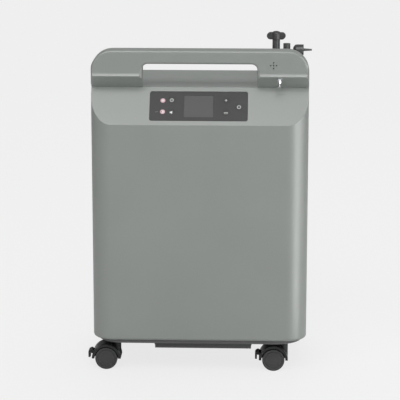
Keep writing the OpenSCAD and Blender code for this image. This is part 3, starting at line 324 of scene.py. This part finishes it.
def panel_signs():
    """Plain signs on the keys and the panel, sized in millimetres."""
    def on_key(key, sign, loops, material=pale_ink):
        printed(sign, loops, outer_face(key, facet_out), key, material)

    arm, stroke = 2.1, 0.7
    cross = [(-stroke, -arm), (stroke, -arm), (stroke, -stroke), (arm, -stroke),
             (arm, stroke), (stroke, stroke), (stroke, arm), (-stroke, arm),
             (-stroke, stroke), (-arm, stroke), (-arm, -stroke), (-stroke, -stroke)]
    on_key("plus_button", "plus_sign", [cross])
    on_key("minus_button", "minus_sign", [box_points(7.0, 2.2, y=-0.4)], grey_ink)
    on_key("minus_button", "minus_underline", [box_points(6.0, 0.7, y=-3.6)], faint_ink)
    on_key("power_button", "power_ring", [circle_points(3.7), circle_points(1.9)], grey_ink)
    on_key("timer_button", "clock_ring", [circle_points(3.5), circle_points(2.1)])
    long_hand, short_hand = box_points(0.8, 1.9, y=0.75), box_points(1.5, 0.8, x=0.9)
    on_key("timer_button", "clock_hands", [long_hand, short_hand])
    speaker = [(-2.8, -1.2), (-1.4, -1.2), (1.2, -2.8), (1.2, 2.8), (-1.4, 1.2), (-2.8, 1.2)]
    on_key("mute_button", "speaker_sign", [speaker], white_ink)

    between_keys = (outer_face("plus_button", facet_out) + outer_face("minus_button", facet_out)) / 2
    beside_lamps = between_keys + facet_right * -120.5 * MM + facet_up * -11 * MM
    printed("lamp_sign", [box_points(4.6, 1.1, turn=12)], beside_lamps, "root", faint_ink)
    upper, lower = lens_centres()
    lower_lens = outer_face("indicator_lenses", facet_out) + (lower - upper) / 2
    printed("lamp_dot", [circle_points(0.95)], lower_lens - facet_right * 1.9 * MM, "root", faint_ink)


def level_lines():
    """Two filling marks: curved strips in the bottle's clear wall, just under its rear face."""
    low, high = (Vector(c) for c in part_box("humidifier_bottle"))
    centre = (low + high) / 2
    radius = (high.x - low.x) / 2
    inner, outer = radius - 0.4 * MM, radius - 0.05 * MM
    inner_half, outer_half = 0.5 * MM, 0.35 * MM
    section = [(inner, -inner_half), (outer, -outer_half), (outer, outer_half), (inner, inner_half)]
    corners = len(section)
    start, sweep = 62, 56  # degrees from +X towards the rear
    steps = 24
    for name, share in (("fill_mark_low", 0.3), ("fill_mark_high", 0.72)):
        z = low.z + share * (high.z - low.z)
        points, faces = [], []
        for i in range(steps + 1):
            angle = math.radians(start + sweep * i / steps)
            for r, dz in section:
                points.append((centre.x + r * math.cos(angle), centre.y + r * math.sin(angle), z + dz))
        for i in range(steps):
            for k in range(corners):
                a, b = corners * i + k, corners * i + (k + 1) % corners
                faces.append((a, b, b + corners, a + corners))
        first_end = tuple(range(corners))[::-1]
        last_end = tuple(range(corners * steps, corners * (steps + 1)))
        faces += [first_end, last_end]
        mesh = bpy.data.meshes.new(name)
        mesh.from_pydata(points, [], faces)
        add_piece(name, mesh, "bottle", materials["white_plastic"])


panel_signs()
level_lines()


# ---------- stage, light and camera ----------

BACKDROP = (0.863, 0.863, 0.863, 1)
WHITE = (1, 1, 1, 1)


def seen_rays(tree):
    """1 for rays that the camera sees straight or through clear material, else 0."""
    rays = shader_node(tree, "ShaderNodeLightPath")
    seen = shader_node(tree, "ShaderNodeMath", [(0, rays.outputs["Is Camera Ray"]),
                                                (1, rays.outputs["Is Transmission Ray"])],
                       operation="MAXIMUM")
    return seen.outputs[0]


def mix_to_output(tree, share, first, second, output):
    """Blends two shaders by a share and makes the blend the tree's surface."""
    mix = shader_node(tree, "ShaderNodeMixShader", [(0, share), (1, first), (2, second)])
    tree.links.new(mix.outputs[0], tree.nodes[output].inputs["Surface"])


def floor_material(near=0.4, far=3.0, near_share=0.85, near_glow=1.06):
    """Pale floor that shows the backdrop. Near the object some of its own shading, and with it the
    object's shadow, shows through, and the backdrop glows a little more to make up for it."""
    material = bpy.data.materials.new("floor")
    material.use_nodes = True
    tree = material.node_tree
    shader = tree.nodes["Principled BSDF"]
    shader.inputs["Base Color"].default_value = (0.8, 0.8, 0.8, 1)
    shader.inputs["Roughness"].default_value = 0.9
    shader.inputs["Specular IOR Level"].default_value = 0.1
    place = shader_node(tree, "ShaderNodeTexCoord").outputs["Object"]
    distance = shader_node(tree, "ShaderNodeVectorMath", [(0, place)], operation="LENGTH")
    share = shader_node(tree, "ShaderNodeMapRange", [
        ("Value", distance.outputs["Value"]), ("From Min", near), ("From Max", far),
        ("To Min", near_share)]).outputs[0]
    seen_share = shader_node(tree, "ShaderNodeMath", [(0, seen_rays(tree)), (1, share)],
                             operation="MULTIPLY").outputs[0]
    glow = shader_node(tree, "ShaderNodeMapRange", [
        ("Value", share), ("From Min", near_share), ("To Min", near_glow)]).outputs[0]
    backdrop = shader_node(tree, "ShaderNodeEmission", [("Color", BACKDROP), ("Strength", glow)])
    mix_to_output(tree, seen_share, shader.outputs[0], backdrop.outputs[0], "Material Output")
    return material


def add_stage(reach=30):
    """A floor under the object: its reach each way in metres."""
    mesh = bpy.data.meshes.new("floor")
    corners = [(-reach, -reach, 0), (reach, -reach, 0), (reach, reach, 0), (-reach, reach, 0)]
    mesh.from_pydata(corners, [], [(0, 1, 2, 3)])
    mesh.materials.append(floor_material())
    floor = bpy.data.objects.new("floor", mesh)
    floor.location.z = cad_box[0][2]
    bpy.context.scene.collection.objects.link(floor)


def add_world(left, right):
    """Sky light that grows from the left to the right. Rays that are seen show the even backdrop."""
    world = bpy.data.worlds.new("studio")
    bpy.context.scene.world = world
    world.use_nodes = True
    tree = world.node_tree
    place = shader_node(tree, "ShaderNodeTexCoord").outputs["Generated"]
    split = shader_node(tree, "ShaderNodeSeparateXYZ", [(0, place)])
    strength = shader_node(tree, "ShaderNodeMapRange", [
        ("Value", split.outputs["X"]), ("From Min", -1), ("To Min", left), ("To Max", right)])
    sky = tree.nodes["Background"]
    sky.inputs["Color"].default_value = WHITE
    tree.links.new(strength.outputs[0], sky.inputs["Strength"])
    backdrop = shader_node(tree, "ShaderNodeBackground", [("Color", BACKDROP)])
    mix_to_output(tree, seen_rays(tree), sky.outputs[0], backdrop.outputs[0], "World Output")


def direction(azimuth, elevation):
    """Unit vector in degrees: azimuth counts from the front to the right, elevation upwards."""
    a, e = math.radians(azimuth), math.radians(elevation)
    return Vector((math.sin(a) * math.cos(e), -math.cos(a) * math.cos(e), math.sin(e)))


def place_aimed(name, data, aim, away, distance):
    """Adds a lamp or camera at a distance from the point that it looks at."""
    placed = bpy.data.objects.new(name, data)
    placed.location = Vector(aim) + away * distance
    placed.rotation_euler = (-away).to_track_quat("-Z", "Y").to_euler()
    bpy.context.scene.collection.objects.link(placed)
    return placed


def add_lamp(name, azimuth, elevation, distance, width, height, power, aim=(0, 0, 0.32),
             diffuse=True, glossy=True):
    """Area lamp in metres and watts, unseen by the camera. It may be left out of the shading, with
    diffuse, or of the reflections, with glossy."""
    data = bpy.data.lights.new(name, "AREA")
    data.shape = "RECTANGLE"
    data.size = width
    data.size_y = height
    data.energy = power
    lamp = place_aimed(name, data, aim, direction(azimuth, elevation), distance)
    lamp.visible_camera = False
    lamp.visible_diffuse = diffuse
    lamp.visible_glossy = glossy


def add_camera(azimuth, elevation, distance, focal_length, aim):
    data = bpy.data.cameras.new("camera")
    data.lens = focal_length
    data.sensor_width = 36
    away = direction(azimuth, elevation)
    bpy.context.scene.camera = place_aimed("camera", data, aim, away, distance)


add_stage()
add_world(0.04, 0.46)
right_edge = (case_high.x, case_low.y, 0.28)  # a point on the casing's right front edge
# Each lamp's name, azimuth, elevation, distance, width, height and power.
add_lamp("key", -13, 47, 3.2, 2.8, 1.5, 51)
add_lamp("low_key", 4, 28, 3.2, 2.8, 2.0, 16)
add_lamp("facet_sheen", 14, 58, 3.2, 2.6, 1.6, 12, diffuse=False)
add_lamp("back_top", 180, 62, 2.6, 2.0, 2.0, 19, glossy=False)
add_lamp("rear_fill", 172, 22, 3.0, 2.4, 2.0, 18, glossy=False)
add_lamp("side", 88, 4, 1.2, 0.8, 1.2, 4, right_edge)
add_lamp("strip", 62, 0, 0.25, 0.15, 0.9, 1.35, right_edge, diffuse=False)
add_lamp("wide_strip", 42, 0, 0.28, 0.12, 0.9, 0.6, right_edge, diffuse=False)
add_camera(2.15, 12.4, 3.19, 164.7, aim=(0.0017, case_low.y, 0.3192))
bpy.context.scene.view_settings.view_transform = "Standard"
